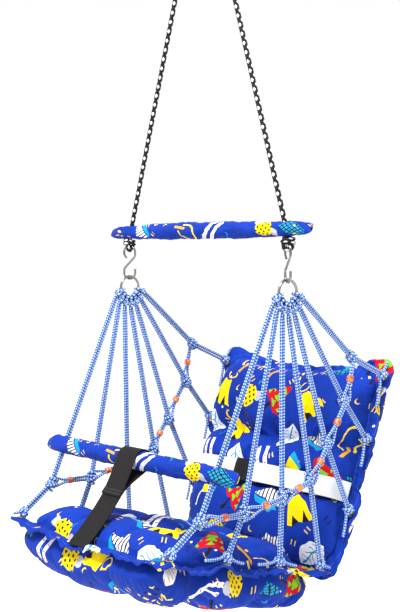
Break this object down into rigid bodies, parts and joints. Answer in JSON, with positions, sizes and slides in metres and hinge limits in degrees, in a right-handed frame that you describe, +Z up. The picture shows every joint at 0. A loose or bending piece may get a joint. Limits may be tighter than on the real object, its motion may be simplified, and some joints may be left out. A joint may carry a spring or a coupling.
{
  "type": "hanging child's swing seat",
  "caption": "Child's hanging swing: quilted seat and backrest in two beaded cord nets, with a sliding front bar, crotch strap, waist belt, spreader bar and ropes.",
  "frame": {"origin": "where the hanging ring bears on its hook: the inside top of the ring", "axes": "+Z up, -Y the way the sitter faces, +X across the seat"},
  "size_m": [0.538, 0.6132, 1.4107],
  "materials": {
    "steel": "satin",
    "black_white_rope": "matte",
    "blue_white_cord": "matte",
    "bead_wood": "gloss",
    "dowel_wood": "matte",
    "printed_cotton": "matte",
    "wadding": "matte",
    "brass": "polished",
    "black_webbing": "matte",
    "hook_and_loop": "matte",
    "white_elastic": "matte"
  },
  "bodies": {
    "hanger": {"hanging_ring": "steel"},
    "spreader": {"rope_top_knot_left": "black_white_rope", "rope_top_knot_right": "black_white_rope", "suspension_rope_left": "black_white_rope", "suspension_rope_right": "black_white_rope", "rope_eye_left": "black_white_rope", "rope_eye_right": "black_white_rope", "spreader_dowel": "dowel_wood", "spreader_sleeve": "printed_cotton"},
    "hook_left": {"s_hook_left": "steel"},
    "hook_right": {"s_hook_right": "steel"},
    "seat": {"seat_ring_left": "steel", "seat_ring_right": "steel", "net_cord_left_1": "blue_white_cord", "net_cord_left_2": "blue_white_cord", "net_cord_left_3": "blue_white_cord", "net_cord_left_4": "blue_white_cord", "net_cord_left_5": "blue_white_cord", "net_cord_left_6": "blue_white_cord", "net_cord_left_7": "blue_white_cord", "net_cord_right_1": "blue_white_cord", "net_cord_right_2": "blue_white_cord", "net_cord_right_3": "blue_white_cord", "net_cord_right_4": "blue_white_cord", "net_cord_right_5": "blue_white_cord", "net_cord_right_6": "blue_white_cord", "net_cord_right_7": "blue_white_cord", "side_rail_left": "blue_white_cord", "side_rail_right": "blue_white_cord", "rail_beads_left": "bead_wood", "rail_beads_right": "bead_wood", "seat_cover": "printed_cotton", "backrest_cover": "printed_cotton", "seat_hem": "printed_cotton", "backrest_hem": "printed_cotton", "seat_filling": "wadding", "backrest_filling": "wadding", "seat_eyelets": "brass", "backrest_eyelets": "brass", "crotch_strap": "black_webbing", "belt_patch": "hook_and_loop", "belt_left": "white_elastic", "belt_right": "white_elastic"},
    "front_bar": {"front_bar_dowel": "dowel_wood", "front_bar_sleeve": "printed_cotton"}
  },
  "joints": [
    {"name": "swing", "type": "hinge", "parent": "hanger", "child": "spreader", "pos_m": [0, 0, -0.0513], "axis": [1, 0, 0], "range_deg": [-30, 30]},
    {"name": "hook_right_sway", "type": "hinge", "parent": "spreader", "child": "hook_right", "pos_m": [0.214, 0, -0.7389], "axis": [1, 0, 0], "range_deg": [-12, 12]},
    {"name": "hook_left_sway", "type": "hinge", "parent": "spreader", "child": "hook_left", "pos_m": [-0.214, 0, -0.7389], "axis": [1, 0, 0], "range_deg": [-12, 12]},
    {"name": "seat_pitch", "type": "hinge", "parent": "hook_right", "child": "seat", "pos_m": [0.214, 0, -0.80215], "axis": [1, 0, 0], "range_deg": [-12, 12]},
    {"name": "front_bar_slide", "type": "slide", "parent": "seat", "child": "front_bar", "axis": [0, -0.4239, -0.9057], "range_m": [0, 0.045], "deforming": ["crotch_strap"]}
  ],
  "couplings": [
    {"joint": "hook_left_sway", "follows": "hook_right_sway", "ratio": 1}
  ]
}
